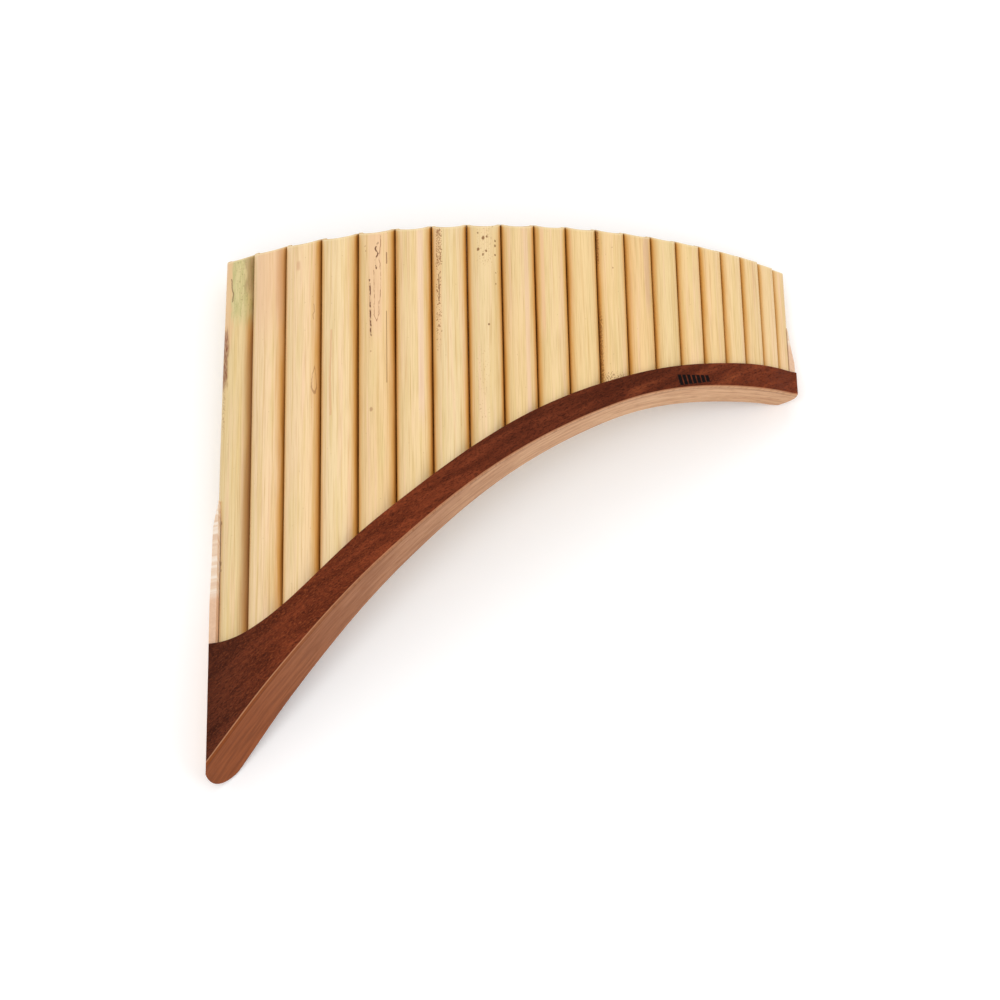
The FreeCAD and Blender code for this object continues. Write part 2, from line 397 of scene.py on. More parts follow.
def mottled(look, arc, below, seed, arc_scale, below_scale, detail=3.0):
    """Noise stretched along the cane."""
    return look.noise(look.vector(look.times(arc, arc_scale), look.times(below, below_scale), seed),
                      1.0, detail)


def sway(look, arc, below, seed, reach, arc_scale=0.0, below_scale=0.3):
    """A wandering shift of up to about half of reach to either side."""
    return look.times(look.less(mottled(look, arc, below, seed, arc_scale, below_scale), 0.5), reach)


def worn(look, mask, arc, below, seed, share=0.5, grain=1.5):
    """Breaks a soft mask up into fine flecks that follow the fibres. A larger share leaves more."""
    fleck = mottled(look, arc, below, seed, grain, grain * 0.6, 2.0)
    edge = look.less(0.92 - 0.4 * share, look.times(mask, 0.22))
    return look.times(look.step(look.less(fleck, edge), 0.0, 0.06), look.step(mask, 0.02, 0.3))


def patch(look, arc, below, centre, half, soft):
    """Soft box on the skin: centre, half size and soft edge are (arc, below) in mm."""
    across = look.band(arc, centre[0], half[0], soft[0])
    along = look.band(below, centre[1], half[1], soft[1])
    return look.times(across, along)


def trail(look, arc, below, points, width, seed=0.0, wander=0.3):
    """A thin line down the cane through points of (below, arc)."""
    across = look.less(look.add(arc, sway(look, 0.0, below, seed, wander, 0.0, 0.28)),
                       look.follow(below, points))
    line = look.band(across, 0.0, width * 0.4, width * 0.6)
    middle = (points[0][0] + points[-1][0]) / 2
    return look.times(line, look.band(below, middle, (points[-1][0] - points[0][0]) / 2, 0.5))


def dots(look, arc, below, seed, places):
    """Small ragged spots at places of (arc, below, radius)."""
    ragged_arc = look.add(arc, sway(look, arc, below, seed, 1.0, 1.3, 1.3))
    ragged_below = look.add(below, sway(look, arc, below, seed + 3.0, 1.4, 1.1, 1.1))
    marks = 0.0
    for spot_arc, spot_below, radius in places:
        aside = look.less(ragged_arc, spot_arc)
        down = look.times(look.less(ragged_below, spot_below), 0.7)
        away = look.math("SQRT", look.add(look.times(aside, aside), look.times(down, down)))
        marks = look.most(look.step(away, radius * 0.6, radius * 1.3, 1.0, 0.0), marks)
    return marks


def loop(look, arc, below, seed, centre, half_width, half_length, width=0.16):
    """The outline of a teardrop, narrow at the top."""
    down = look.math("DIVIDE", look.less(below, centre[1]), half_length)
    narrowing = look.add(0.8, look.times(down, 0.4))
    shift = sway(look, arc, below, seed, 1.3, 0.4, 0.35)
    side = look.math("DIVIDE", look.less(look.add(arc, shift), centre[0]), look.times(narrowing, half_width))
    reach = look.math("SQRT", look.add(look.times(down, down), look.times(side, side)))
    off_line = look.math("ABSOLUTE", look.less(reach, 1.0))
    return look.step(off_line, width * 0.4, width * 1.3, 1.0, 0.0)


def bass_cane_marks(look, arc, below, colour):
    """Greenish skin at the mouth, a brown stain on the free side and a mauve-brown streak by the groove,
    partly stain and partly painted shade.
    """
    ragged = sway(look, arc, below, 1.4, 5.0, 0.6, 0.12)
    arc_ragged = look.add(arc, ragged)
    below_ragged = look.add(below, look.times(sway(look, arc, below, 4.4, 7.0, 0.9, 0.1), 2.0))
    free_edge = patch(look, arc_ragged, below, (-4.6, 22.0), (3.0, 30.0), (1.6, 12.0))
    colour = look.mix(look.times(free_edge, 0.5), colour, linear(232, 184, 138))
    green = patch(look, arc_ragged, below_ragged, (5.6, 16.0), (5.6, 20.0), (2.4, 14.0))
    tone = look.mix(look.step(mottled(look, arc, below, 6.1, 0.9, 0.1), 0.35, 0.65), linear(188, 182, 124),
                    linear(214, 200, 146))
    colour = look.mix(look.times(green, 0.8), colour, tone)
    flecks = worn(look, green, arc, below, 2.7, 0.2, 1.4)
    colour = look.mix(look.times(flecks, 0.4), colour, linear(138, 106, 70))
    bruise = patch(look, arc_ragged, below, (8.4, 12.0), (1.2, 9.0), (1.6, 9.0))
    colour = look.mix(look.times(bruise, 0.45), colour, linear(166, 130, 98))
    scratch = trail(look, arc, below, ((17.0, -1.6), (23.0, -1.2), (27.0, -0.2), (31.0, -1.0)),
                    0.55, 5.0, 1.6)
    colour = look.mix(look.times(scratch, 0.7), colour, linear(120, 84, 56))
    stain = patch(look, arc_ragged, below_ragged, (-6.4, 64.0), (1.8, 12.0), (2.8, 9.0))
    grain = look.step(mottled(look, arc, below, 8.0, 1.3, 0.3), 0.35, 0.62, 0.45, 1.0)
    colour = look.mix(look.times(stain, grain), colour, linear(134, 70, 36))
    trickle = worn(look, patch(look, arc, below, (-6.0, 88.0), (0.9, 16.0), (1.2, 8.0)), arc, below, 3.1, 0.5)
    colour = look.mix(look.times(trickle, 0.5), colour, linear(140, 92, 62))
    # Partly stain, partly painted shade: a broad mauve-brown band down the flank by the groove.
    streak = patch(look, look.add(arc, sway(look, arc, below, 9.4, 6.0, 0.1, 0.012)), below,
                   (12.0, 138.0), (1.6, 70.0), (6.0, 40.0))
    colour = look.mix(look.times(streak, 0.6), colour, linear(156, 112, 80))
    nicks = dots(look, arc, below, 7.7, ((-6.2, 160.0, 0.7), (-6.3, 183.0, 0.9), (-5.9, 187.0, 0.6)))
    return look.mix(look.times(nicks, 0.6), colour, MARK)


def second_cane_marks(look, arc, below, colour):
    rose = patch(look, arc, below, (3.0, 10.0), (6.0, 24.0), (5.0, 40.0))
    colour = look.mix(look.times(rose, 0.5), colour, linear(230, 186, 146))
    shade = patch(look, arc, below, (8.4, 18.0), (0.8, 16.0), (2.0, 22.0))
    return look.mix(look.times(shade, 0.22), colour, linear(178, 118, 74))


def third_cane_marks(look, arc, below, colour):
    drop = loop(look, arc, below, 2.2, (9.2, 88.0), 1.7, 7.4)
    colour = look.mix(look.times(drop, 0.5), colour, linear(132, 78, 46))
    scratch = trail(look, arc, below, ((43.0, 8.8), (47.0, 9.1), (49.0, 8.2), (52.0, 8.5)), 0.3, 0.7, 1.2)
    colour = look.mix(look.times(scratch, 0.42), colour, MARK)
    spot = patch(look, arc, below, (0.0, 20.0), (0.5, 1.4), (1.2, 2.4))
    return look.mix(look.times(spot, 0.35), colour, linear(196, 130, 100))


def fourth_cane_marks(look, arc, below, colour):
    streak = trail(look, arc, below, ((62.0, -2.2), (88.0, -2.8), (112.0, -2.4)), 0.8, 5.0, 0.8)
    return look.mix(look.times(streak, 0.4), colour, linear(216, 146, 112))


def fifth_cane_marks(look, arc, below, colour):
    """The most weathered cane: broken dark streaks, a fine crack and wandering worm lines."""
    blush = patch(look, arc, below, (0.8, 34.0), (2.6, 26.0), (2.2, 16.0))
    colour = look.mix(look.times(blush, 0.4), colour, linear(236, 190, 158))
    gnawed = trail(look, arc, below, ((13.0, 2.2), (17.0, 1.2), (19.6, 2.2), (24.0, 1.2), (29.0, 1.4)),
                   0.62, 3.3, 1.6)
    gnawed = look.most(gnawed, trail(look, arc, below,
                                     ((35.0, -2.3), (41.0, -1.9), (56.0, -1.8), (69.0, -1.4)),
                                     0.6, 7.0, 0.9))
    broken = look.step(mottled(look, arc, below, 7.3, 1.1, 0.5), 0.4, 0.54, 0.08, 1.0)
    colour = look.mix(look.times(gnawed, look.times(broken, 0.9)), colour, linear(96, 46, 24))
    worm = trail(look, arc, below, ((9.0, 3.6), (14.6, 4.0), (21.8, 3.0), (29.8, 3.9), (39.0, 3.9),
                                    (46.0, 3.5), (49.0, 2.9), (55.8, 2.9), (60.4, 1.7)), 0.3, 4.4, 1.1)
    worm = look.most(worm, trail(look, arc, below, ((30.0, 0.2), (44.0, 0.4), (56.9, 0.3), (60.4, 1.6)),
                                 0.26, 6.1, 1.1))
    faint = look.step(mottled(look, arc, below, 2.9, 0.9, 0.35), 0.36, 0.58, 0.15, 0.75)
    colour = look.mix(look.times(worm, faint), colour, linear(134, 76, 42))
    crack = trail(look, arc, below, ((54.0, 7.1), (75.0, 7.2), (96.0, 7.1)), 0.32, 8.1, 0.2)
    crack = look.most(crack, trail(look, arc, below, ((18.5, 7.3), (25.0, 7.3)), 0.5, 2.1, 0.4))
    colour = look.mix(look.times(crack, 0.7), colour, linear(122, 72, 38))
    specks = dots(look, arc, below, 5.5, ((-5.0, 13.9, 0.4), (-4.6, 17.0, 0.3), (-1.6, 78.0, 0.4),
                                          (-1.4, 112.0, 0.9)))
    return look.mix(look.times(specks, 0.5), colour, linear(150, 90, 62))


def sixth_cane_sheen(look, arc, below, colour):
    # Painted highlight: a pale pinkish sheen streak down the cane, right of its middle.
    streak = patch(look, arc, below, (4.9, 60.0), (0.9, 46.0), (1.4, 26.0))
    return look.mix(look.times(streak, 0.5), colour, linear(240, 206, 186))


def seventh_cane_marks(look, arc, below, colour):
    """A column of fine speckles down the bass side, dense at the mouth."""
    column = patch(look, arc, below, (-6.0, 30.0), (1.0, 34.0), (1.8, 30.0))
    colour = look.mix(look.times(column, 0.3), colour, linear(238, 184, 130))
    head = patch(look, arc, below, (-5.6, 14.0), (1.7, 12.0), (1.0, 8.0))
    speckles = look.most(worn(look, column, arc, below, 6.6, 0.4, 1.5),
                         worn(look, head, arc, below, 3.4, 0.48, 1.7))
    colour = look.mix(look.times(speckles, 0.72), colour, linear(132, 70, 24))
    worms = trail(look, arc, below, ((34.0, -5.9), (44.0, -5.4), (50.0, -5.8)), 0.5, 2.4, 1.5)
    return look.mix(look.times(worms, 0.6), colour, MARK)


def eighth_cane_marks(look, arc, below, colour):
    spots = dots(look, arc, below, 9.2, (
        (-0.6, 13.4, 0.8), (1.4, 12.6, 0.5), (-3.4, 20.0, 0.7), (-0.8, 23.4, 0.6), (0.9, 21.4, 0.6),
        (-3.5, 9.9, 0.4), (4.8, 5.6, 0.4), (6.3, 14.3, 0.5), (6.2, 17.2, 0.6), (6.1, 22.9, 0.5),
        (6.5, 33.7, 0.3), (6.3, 40.4, 0.4), (1.7, 65.4, 0.5)))
    colour = look.mix(look.times(spots, 0.85), colour, linear(124, 76, 32))
    cloud = worn(look, patch(look, arc, below, (0.0, 16.0), (4.0, 12.0), (2.0, 8.0)),
                 arc, below, 3.9, 0.25, 1.4)
    colour = look.mix(look.times(cloud, 0.4), colour, linear(160, 110, 60))
    low = worn(look, patch(look, arc, below, (-2.0, 100.0), (3.0, 18.0), (2.0, 12.0)),
               arc, below, 6.9, 0.2, 1.3)
    return look.mix(look.times(low, 0.4), colour, linear(166, 116, 70))


def ninth_cane_sheen(look, arc, below, colour):
    # Painted highlight: a pale pinkish sheen streak down the cane, right of its middle.
    streak = patch(look, arc, below, (3.9, 70.0), (0.7, 50.0), (1.2, 30.0))
    return look.mix(look.times(streak, 0.5), colour, linear(238, 200, 172))


def tenth_cane_marks(look, arc, below, colour):
    streak = patch(look, arc, below, (-5.6, 36.0), (0.5, 26.0), (1.1, 16.0))
    return look.mix(look.times(streak, 0.45), colour, linear(240, 190, 154))


def twelfth_cane_marks(look, arc, below, colour):
    """Dark specks in the groove and two dots near the mouth."""
    edge = patch(look, arc, below, (-10.4, 84.0), (1.6, 22.0), (1.6, 20.0))
    edge = look.most(edge, patch(look, arc, below, (-9.8, 12.0), (0.8, 8.0), (1.0, 8.0)))
    specks = worn(look, edge, arc, below, 1.9, 0.7, 1.5)
    foot = patch(look, arc, below, (0.0, 96.0), (7.0, 4.0), (2.0, 6.0))
    specks = look.most(specks, worn(look, foot, arc, below, 4.9, 0.45, 1.6))
    colour = look.mix(look.times(specks, 0.62), colour, linear(116, 62, 28))
    spots = dots(look, arc, below, 1.2, ((-0.7, 14.5, 0.3), (-0.7, 27.0, 0.4)))
    return look.mix(look.times(spots, 0.6), colour, linear(150, 100, 62))


def thirteenth_cane_marks(look, arc, below, colour):
    ragged = sway(look, arc, below, 1.1, 3.0, 0.5, 0.1)
    bruise = patch(look, look.add(arc, ragged), below, (3.4, 24.0), (1.2, 16.0), (1.6, 18.0))
    return look.mix(look.times(bruise, 0.45), colour, linear(200, 158, 132))


# Each cane's own marks, and on the sixth and ninth canes a painted highlight streak.
CANE_MARKS_AND_SHEEN = {
    1: bass_cane_marks, 2: second_cane_marks, 3: third_cane_marks, 4: fourth_cane_marks,
    5: fifth_cane_marks, 6: sixth_cane_sheen, 7: seventh_cane_marks, 8: eighth_cane_marks,
    9: ninth_cane_sheen, 10: tenth_cane_marks, 12: twelfth_cane_marks, 13: thirteenth_cane_marks,
}


def skin_tones(look, arc, below, seed, tint):
    """Polished cane skin: long soft bands of rose, straw and olive over the tint, and fine fibres."""
    colour = look.mix(look.step(mottled(look, arc, below, seed, 0.3, 0.007), 0.5, 0.7, 0.0, 0.55),
                      tint, SKIN_ROSE)
    straw = mottled(look, arc, below, seed + 11.0, 0.5, 0.012)
    colour = look.mix(look.step(straw, 0.48, 0.7, 0.0, 0.6), colour, SKIN_STRAW)
    olive = mottled(look, arc, below, seed + 17.0, 0.24, 0.02)
    colour = look.mix(look.step(olive, 0.5, 0.7, 0.0, 0.45), colour, SKIN_OLIVE)
    coarse = mottled(look, arc, below, seed + 31.0, 1.1, 0.018)
    colour = look.mix(look.step(coarse, 0.52, 0.74, 0.0, 0.4), colour, linear(208, 162, 102))
    fibres = mottled(look, arc, below, seed + 23.0, 2.2, 0.045, 4.0)
    shade = look.ramp(fibres, (0.32, (0.70, 0.64, 0.54, 1)), (0.52, (1, 1, 1, 1)), (0.8, (1, 1, 1, 1)))
    return look.mix(0.42, colour, shade, "MULTIPLY"), fibres


def cane_skin(cane):
    """One cane's skin: flanks and grooves darkened by stain and painted shade, a pale rim band that is partly
    a painted highlight, and the cane's own marks, with painted highlight streaks on some canes.
    """
    number = cane.index + 1
    seed = number * 3.7
    look = Finish("cane_skin_%02d" % number)
    arc, below = cane_coordinates(look)
    colour, fibres = skin_tones(look, arc, below, seed, linear(*CANE_TINTS[cane.index]))

    turn = look.times(arc, MM / cane.radius)
    if cane.index == len(CANES) - 1:
        turn = look.times(turn, -1.0)
    elif cane.index > 0:
        turn = look.math("ABSOLUTE", turn)
    # the groove is a quarter turn round, and past it the skin runs back to clean cane behind
    past_groove = look.math("ABSOLUTE", look.less(math.pi / 2, turn))
    to_groove = look.less(math.pi / 2, past_groove)
    wander = look.add(sway(look, arc, below, seed + 5.0, 0.5, 0.3, 0.02),
                      sway(look, arc, below, seed + 8.0, 0.25, 0.9, 0.06))
    # Stain and painted shade: the skin turns golden brown towards each groove.
    colour = look.mix(look.step(look.add(to_groove, wander), 0.66, 1.3, 0.0, 0.9), colour, FLANK_STAIN_AND_SHADE)
    colour = look.mix(look.step(look.add(to_groove, look.times(wander, 0.6)), 1.1, 1.45, 0.0, 0.88),
                      colour, FLANK_DEEP_STAIN_AND_SHADE)

    distance, chance = look.specks(look.vector(look.times(arc, 0.5), look.times(below, 0.26), seed))
    speck = look.times(look.step(distance, 0.04, 0.11, 1.0, 0.0), look.step(chance, 0.74, 0.78))
    colour = look.mix(look.times(speck, 0.4), colour, MARK)
    if number in CANE_MARKS_AND_SHEEN:
        colour = CANE_MARKS_AND_SHEEN[number](look, arc, below, colour)
    # Stain and painted shade: the skin turns dark brown in the groove itself.
    colour = look.mix(look.step(look.add(to_groove, look.times(wander, 0.35)), 1.33, 1.54, 0.0, 0.96),
                      colour, GROOVE_STAIN_AND_SHADE)

    # A pale band along the mouth edge: partly the ground edge's own colour, partly a painted highlight.
    bevel = look.times(look.most(look.math("COSINE", turn), 0.0), BEVEL * cane.radius / MM)
    rim = look.step(look.less(below, bevel), 0.1, 1.3, 0.5, 0.0)
    colour = look.mix(rim, colour, linear(246, 226, 180))

    roughness = look.step(fibres, 0.3, 0.7, 0.52, 0.4)
    fine = look.bump(fibres, 0.05 * MM, 0.5)
    slow = look.bump(mottled(look, arc, below, seed + 41.0, 0.3, 0.04), 0.35 * MM, 0.6, fine)
    return look.finish(colour, roughness, slow, 0.18)


def cane_cut():
    """The ground mouth rim: pale end grain with the dots of the fibre bundles."""
    look = Finish("cane_cut")
    place = look.node("ShaderNodeTexCoord").outputs["Object"]
    distance = look.specks(place, 2600.0)[0]
    bundles = look.step(distance, 0.1, 0.45, 1.0, 0.0)
    stain = look.noise(place, 160.0, 3.0)
    colour = look.mix(look.step(stain, 0.35, 0.7), linear(240, 216, 168), linear(216, 178, 120))
    colour = look.mix(look.times(bundles, 0.35), colour, linear(150, 106, 58))
    return look.finish(colour, look.step(stain, 0.3, 0.7, 0.62, 0.75),
                       look.bump(bundles, 0.05 * MM, 0.5), 0.3)


def cane_bore():
    """The inside of a cane: drier and browner than the skin."""
    look = Finish("cane_bore")
    arc, below = cane_coordinates(look)
    fibres = mottled(look, arc, below, 2.0, 2.2, 0.05, 4.0)
    bands = mottled(look, arc, below, 9.0, 0.3, 0.02)
    colour = look.mix(look.step(fibres, 0.3, 0.7), linear(176, 130, 74), linear(212, 170, 112))
    colour = look.mix(look.step(bands, 0.45, 0.7, 0.0, 0.5), colour, linear(140, 92, 46))
    return look.finish(colour, look.step(bands, 0.3, 0.7, 0.55, 0.7), look.bump(fibres, 0.06 * MM, 0.6), 0.3)


# ---------------------------------------------------------------- shoe materials

def row_coordinates(look):
    """Distance along the row, height along Y and distance from the row's axis, all in mm."""
    place = look.node("ShaderNodeTexCoord").outputs["Object"]
    x, y, z = look.split(place)
    across = look.less(x, AXIS.x)
    away = look.less(z, AXIS.y)
    along = look.times(look.math("ARCTAN2", across, away), ROW_RADIUS / MM)
    radius = look.math("SQRT", look.add(look.times(across, across), look.times(away, away)))
    return along, look.times(y, 1 / MM), look.times(radius, 1 / MM)


def turned(look, along, up, angle):
    """The two coordinates turned so that the first runs along the grain."""
    cosine = math.cos(math.radians(angle))
    sine = math.sin(math.radians(angle))
    with_grain = look.add(look.times(along, cosine), look.times(up, sine))
    across_grain = look.less(look.times(up, cosine), look.times(along, sine))
    return with_grain, across_grain


def facing_foot(look):
    """How squarely the surface looks towards the foot, up to 1."""
    normal = look.node("ShaderNodeNewGeometry").outputs["Normal"]
    return look.times(look.split(normal)[1], -1.0)


def facing_out(look):
    """How squarely the surface looks out of the bulging side, up to 1."""
    normal = look.split(look.node("ShaderNodeNewGeometry").outputs["Normal"])
    place = look.split(look.node("ShaderNodeTexCoord").outputs["Object"])
    across = look.less(place[0], AXIS.x)
    away = look.less(place[2], AXIS.y)
    reach = look.math("SQRT", look.add(look.times(across, across), look.times(away, away)))
    outward = look.add(look.times(normal[0], across), look.times(normal[2], away))
    return look.math("DIVIDE", outward, reach)


def beside_cane(look, cane):
    """Distance from one cane's skin, in mm."""
    place = look.split(look.node("ShaderNodeTexCoord").outputs["Object"])
    across = look.less(place[0], cane.centre.x)
    away = look.less(place[2], cane.centre.y)
    reach = look.math("SQRT", look.add(look.times(across, across), look.times(away, away)))
    return look.times(look.less(reach, cane.radius), 1 / MM)


BOARD_GRAIN = 33.0
ROW_START = math.atan2(CANES[0].out.x, CANES[0].out.y) * ROW_RADIUS / MM - CANES[0].radius / MM
CREST = [(math.atan2(cane.out.x, cane.out.y) * ROW_RADIUS / MM, (ROW_RADIUS + cane.radius) / MM)
         for cane in CANES]
# How light the front board is, by distance along the row.
BOARD_LIGHT = ((-162.0, 0.0), (-142.0, 0.2), (-108.0, 0.85), (-50.0, 1.0), (0.0, 0.5),
               (90.0, 0.5), (150.0, 1.0))
MARK_ALONG = ROW_START + 253.0
MARK_HEIGHT = 61.6
MARK_BARS = 7
MARK_SPACING = 2.7
MARK_TILT = 14.0


def burnt_bars(look, along, up):
    """A generic burnt-in mark: a row of upright bars that shorten towards the treble."""
    right, above = turned(look, look.less(along, MARK_ALONG), look.less(up, MARK_HEIGHT), MARK_TILT)
    marks = 0.0
    for bar in range(MARK_BARS):
        centre = (bar - (MARK_BARS - 1) / 2) * MARK_SPACING
        half = 2.9 - 0.2 * bar
        shape = look.times(look.band(right, centre, 0.8, 0.35), look.band(above, 0.0, half, 0.4))
        marks = look.most(shape, marks)
    char = look.noise(look.vector(along, up, 4.0), 1.6, 3.0)
    return look.times(marks, look.step(char, 0.2, 0.5, 0.9, 1.0))


def ahead_of_joint(look, along, radius):
    """Distance in front of the joint between front board and rail, in mm."""
    return look.less(radius, look.follow(along, CREST))


def mahogany(name, seed, marked):
    """Dark red-brown board: ribbon figure and pores along the slanting grain, paler on the cut foot face
    (partly sanded wood, partly painted light), with a painted highlight on its rounded edge.
    """
    look = Finish(name)
    along, up, radius = row_coordinates(look)
    grain, across = turned(look, along, up, BOARD_GRAIN)
    ribbon = look.noise(look.vector(look.times(grain, 0.024), look.times(across, 0.14), seed),
                        1.0, 3.0, 0.5, 0.4)
    warm = look.times(look.step(along, 10.0, 70.0), look.step(along, 100.0, 150.0, 1.0, 0.45))
    colour = look.mix(look.step(ribbon, 0.32, 0.68), linear(98, 40, 19), linear(132, 59, 32))
    colour = look.mix(look.times(look.step(ribbon, 0.5, 0.7), look.add(0.12, look.times(warm, 0.88))),
                      colour, linear(150, 74, 40))
    figure = look.noise(look.vector(look.times(grain, 0.12), look.times(across, 0.55), seed + 3.0),
                        1.0, 3.0, 0.55, 0.6)
    colour = look.mix(look.step(figure, 0.5, 0.75, 0.0, 0.55), colour, linear(72, 28, 15))
    pores = look.noise(look.vector(look.times(grain, 0.5), look.times(across, 1.7), seed + 7.0),
                       1.0, 4.0, 0.7, 0.8)
    pore = look.step(pores, 0.48, 0.6)
    colour = look.mix(look.times(pore, 0.6), colour, linear(48, 18, 9))
    flecks = look.noise(look.vector(look.times(grain, 0.5), look.times(across, 1.5), seed + 13.0),
                        1.0, 4.0, 0.7, 0.8)
    bass = look.step(along, -150.0, 0.0, 1.0, 0.25)
    colour = look.mix(look.times(look.step(flecks, 0.5, 0.62), look.times(bass, 0.6)),
                      colour, linear(160, 80, 42))
    shade = look.mix(look.follow(along, BOARD_LIGHT), (0.40, 0.46, 0.60, 1), (1, 1, 1, 1))
    colour = look.mix(1.0, colour, shade, "MULTIPLY")
    out = facing_out(look)
    low = look.step(facing_foot(look), 0.1, 0.3)
    foot_face_sanded_and_lit = look.times(look.step(out, 0.2, 0.5, 1.0, 0.0), low)
    # The face towards the foot is painted paler, partly sanded end grain and partly painted light, and paler
    # still towards the treble end as painted light.
    foot = look.mix(look.step(along, -150.0, 60.0), linear(132, 68, 30), linear(200, 154, 116))
    foot = look.mix(look.times(pore, 0.3), foot, linear(126, 72, 42))
    joint = look.step(ahead_of_joint(look, along, radius), 0.3, 0.75, 0.3, 0.0)
    foot = look.mix(joint, foot, linear(84, 42, 24))
    colour = look.mix(foot_face_sanded_and_lit, colour, foot)
    # Painted highlight: a pale line along the rounded edge between the front and the foot face.
    painted_edge_highlight = look.times(look.band(out, 0.6, 0.2, 0.15), low)
    colour = look.mix(look.times(painted_edge_highlight, 0.6), colour, linear(206, 146, 106))
    normal = look.bump(look.less(1.0, pore), 0.08 * MM, 0.6)
    if marked:
        bars = burnt_bars(look, along, up)
        front = look.step(radius, ROW_RADIUS / MM, ROW_RADIUS / MM + 6.0)
        bars = look.times(bars, look.times(front, look.less(1.0, foot_face_sanded_and_lit)))
        colour = look.mix(look.times(bars, 0.97), colour, linear(12, 10, 10))
        normal = look.bump(look.less(1.0, bars), 0.25 * MM, 0.8, normal)
    roughness = look.add(look.step(figure, 0.3, 0.7, 0.42, 0.54), look.times(pore, 0.15))
    return look.finish(colour, roughness, normal, 0.05)


def rail_wood():
    """The rail under the foot: the same wood with the grain along the band, painted paler than the boards and
    paler towards the treble, partly sanded wood and partly painted light.
    """
    look = Finish("rail_wood")
    along, up, radius = row_coordinates(look)
    streak = look.noise(look.vector(look.times(along, 0.03), look.times(up, 0.05), look.times(radius, 0.5)),
                        1.0, 4.0, 0.55)
    fine = look.noise(look.vector(look.times(along, 0.14), look.times(up, 0.2), look.times(radius, 1.7)),
                      1.0, 3.0, 0.6)
    # Painted light: darker at the bass end and paler towards the treble, where the face is more lit.
    treble = look.step(along, -150.0, 60.0)
    dark = look.mix(look.step(streak, 0.35, 0.65), linear(121, 60, 23), linear(142, 74, 33))
    pale = look.mix(look.step(streak, 0.35, 0.65), linear(190, 142, 104), linear(212, 168, 129))
    colour = look.mix(treble, dark, pale)
    colour = look.mix(look.step(fine, 0.5, 0.72, 0.0, 0.4), colour, linear(122, 70, 42))
    joint = look.step(ahead_of_joint(look, along, radius), -0.7, -0.2, 0.0, 0.3)
    colour = look.mix(joint, colour, linear(84, 42, 24))
    return look.finish(colour, look.step(fine, 0.3, 0.7, 0.5, 0.62), look.bump(fine, 0.05 * MM, 0.5), 0.18)


def maple(name, end_cane, figure_low, joint):
    """Pale cheek wood with a faint rippled figure above one height, and a dark line at its cane that is
    painted shade in the gap.
    """
    look = Finish(name)
    along, up, radius = row_coordinates(look)
    grain, across = turned(look, radius, up, 62.0)
    fine = look.noise(look.vector(look.times(grain, 0.16), look.times(across, 1.4), look.times(along, 0.5)),
                      1.0, 4.0)
    ripple = look.noise(look.vector(look.times(grain, 0.16), look.times(across, 0.5), 2.0),
                        1.0, 3.0, 0.5, 0.6)
    upper = look.step(up, figure_low - 4.0, figure_low + 4.0)
    colour = look.mix(look.step(fine, 0.3, 0.7), linear(220, 180, 148), linear(229, 190, 158))
    colour = look.mix(upper, colour, linear(232, 204, 176))
    colour = look.mix(look.times(look.step(ripple, 0.46, 0.62), look.times(upper, 0.7)),
                      colour, linear(246, 234, 220))
    colour = look.mix(look.times(look.step(ripple, 0.36, 0.46, 1.0, 0.0), look.times(upper, 0.3)), colour,
                      linear(206, 160, 130))
    # Painted shade: a dark line in the gap where the cheek meets its cane; joint sets its strength.
    beside = beside_cane(look, end_cane)
    colour = look.mix(look.step(beside, 0.25, 0.7, joint, 0.0), colour, linear(92, 58, 32))
    return look.finish(colour, look.step(fine, 0.3, 0.7, 0.42, 0.52), look.bump(fine, 0.04 * MM, 0.5), 0.3)


def cork():
    """Granules of cork with dark seams."""
    look = Finish("cork")
    place = look.node("ShaderNodeTexCoord").outputs["Object"]
    distance, chance = look.specks(place, 700.0)
    colour = look.mix(chance, linear(150, 104, 66), linear(196, 152, 108))
    seams = look.step(distance, 0.45, 0.75)
    pits = look.step(look.noise(place, 900.0, 2.0), 0.62, 0.7)
    colour = look.mix(look.math("MAXIMUM", look.times(seams, 0.5), pits), colour, linear(84, 54, 34))
    return look.finish(colour, look.add(0.75, look.times(chance, 0.15)),
                       look.bump(look.less(1.0, look.math("MAXIMUM", seams, pits)), 0.2 * MM, 0.7), 0.3)


def beeswax():
    """Poured wax: cloudy yellow with soft dimples."""
    look = Finish("beeswax")
    place = look.node("ShaderNodeTexCoord").outputs["Object"]
    cloud = look.noise(place, 260.0, 3.0)
    dimples = look.noise(place, 700.0, 2.0)
    colour = look.mix(look.step(cloud, 0.3, 0.7), linear(196, 148, 62), linear(226, 186, 100))
    look.shader.inputs["Subsurface Weight"].default_value = 0.2
    look.shader.inputs["Subsurface Radius"].default_value = (2 * MM, 1.2 * MM, 0.5 * MM)
    return look.finish(colour, look.step(cloud, 0.3, 0.7, 0.42, 0.55),
                       look.bump(dimples, 0.15 * MM, 0.6), 0.45)


def dress(node, material):
    data = frame["nodes"][node].data
    data.materials.clear()
    data.materials.append(material)


def dress_shoe():
    """Gives the carried-over CAD pieces their finishes."""
    dress("front_board", mahogany("mahogany_front", 2.0, True))
    dress("back_board", mahogany("mahogany_back", 17.0, False))
    dress("bottom_rail", rail_wood())
    # The last number sets the strength of the painted shade beside the end cane.
    dress("bass_cheek", maple("bass_maple", CANES[0], -52.0, 0.85))
    dress("treble_cheek", maple("treble_maple", CANES[-1], 102.0, 0.25))
    dress("beeswax_plugs", beeswax())
    stopper = cork()
    for number in range(1, len(TUBES) + 1):
        dress("cork_%02d" % number, stopper)


# ---------------------------------------------------------------- stage, lights and camera

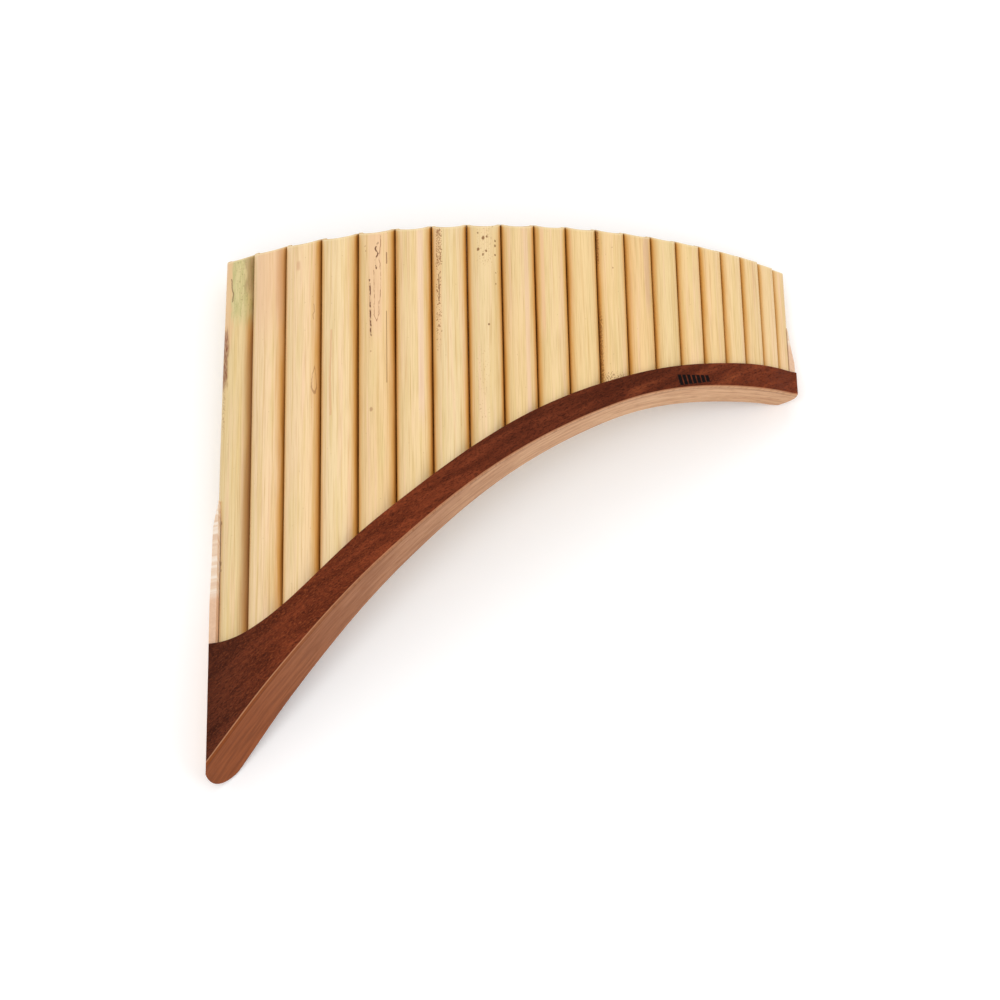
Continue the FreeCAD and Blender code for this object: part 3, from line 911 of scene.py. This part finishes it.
def make_floor():
    """A wide pale sheet under the flute."""
    half = 3.0
    steps = 8
    vertices = []
    for row in range(steps + 1):
        for column in range(steps + 1):
            vertices.append((-half + 2 * half * column / steps, -half + 2 * half * row / steps, 0.0))
    faces = []
    for row in range(steps):
        for column in range(steps):
            corner = row * (steps + 1) + column
            faces.append((corner, corner + 1, corner + steps + 2, corner + steps + 1))
    mesh = bpy.data.meshes.new("floor")
    mesh.from_pydata(vertices, [], faces)
    look = Finish("floor_paper")
    place = look.node("ShaderNodeTexCoord").outputs["Object"]
    tooth = look.noise(place, 400.0, 3.0)
    colour = look.mix(tooth, (0.97, 0.97, 0.97, 1), (0.99, 0.99, 0.99, 1))
    look.feed(look.shader.inputs["Emission Color"], colour)
    look.shader.inputs["Emission Strength"].default_value = 0.07
    mesh.materials.append(look.finish(colour, 0.9, look.bump(tooth, 0.02 * MM, 0.2), 0.1))
    floor = bpy.data.objects.new("floor", mesh)
    bpy.context.collection.objects.link(floor)


def area_light(name, place, target, size, power, colour=(1, 1, 1)):
    data = bpy.data.lights.new(name, "AREA")
    data.shape = "RECTANGLE"
    data.size, data.size_y = size
    data.energy = power
    data.color = colour
    lamp = bpy.data.objects.new(name, data)
    lamp.location = place
    lamp.rotation_euler = (Vector(target) - Vector(place)).to_track_quat("-Z", "Y").to_euler()
    bpy.context.collection.objects.link(lamp)


def make_lights():
    """Soft studio light: a bright sky of paper and wide lamps over the foot and both ends."""
    world = bpy.data.worlds.new("studio")
    world.use_nodes = True
    background = world.node_tree.nodes["Background"]
    background.inputs["Color"].default_value = (1.0, 1.0, 1.0, 1)
    background.inputs["Strength"].default_value = 0.74
    bpy.context.scene.world = world
    area_light("key", (-0.45, -0.55, 1.5), (0, 0, 0.03), (0.9, 0.7), 6.0)
    area_light("fill", (0.9, -0.75, 0.9), (0, 0, 0.03), (0.8, 0.8), 3.5)
    area_light("back", (0.1, 1.1, 1.1), (0, 0.25, 0.0), (1.2, 0.8), 3.5)


# The camera: its lens and sensor in mm, its place in metres, and the directions to its right and ahead.
CAMERA_LENS = 108
SENSOR_WIDTH = 36
CAMERA_PLACE = Vector((-0.102937, -0.66183, 1.447144))
CAMERA_RIGHT = Vector((0.998085, -0.01962, 0.058658))
CAMERA_FORWARD = Vector((0.061457, 0.421567, -0.904712))


def make_camera():
    """Looks down at the bulging side from beyond the foot, a little to the bass side."""
    data = bpy.data.cameras.new("camera")
    data.lens = CAMERA_LENS
    data.sensor_width = SENSOR_WIDTH
    camera = bpy.data.objects.new("camera", data)
    up = CAMERA_RIGHT.cross(CAMERA_FORWARD)
    turn = Matrix((CAMERA_RIGHT, up, -CAMERA_FORWARD)).transposed().to_4x4()
    turn.translation = CAMERA_PLACE
    camera.matrix_world = turn
    bpy.context.collection.objects.link(camera)
    bpy.context.scene.camera = camera


def main():
    cut = cane_cut()
    bore = cane_bore()
    for cane in CANES:
        make_cane(cane, (cane_skin(cane), cut, bore))
    dress_shoe()
    make_floor()
    make_lights()
    make_camera()
    bpy.context.scene.view_settings.view_transform = "Standard"


main()
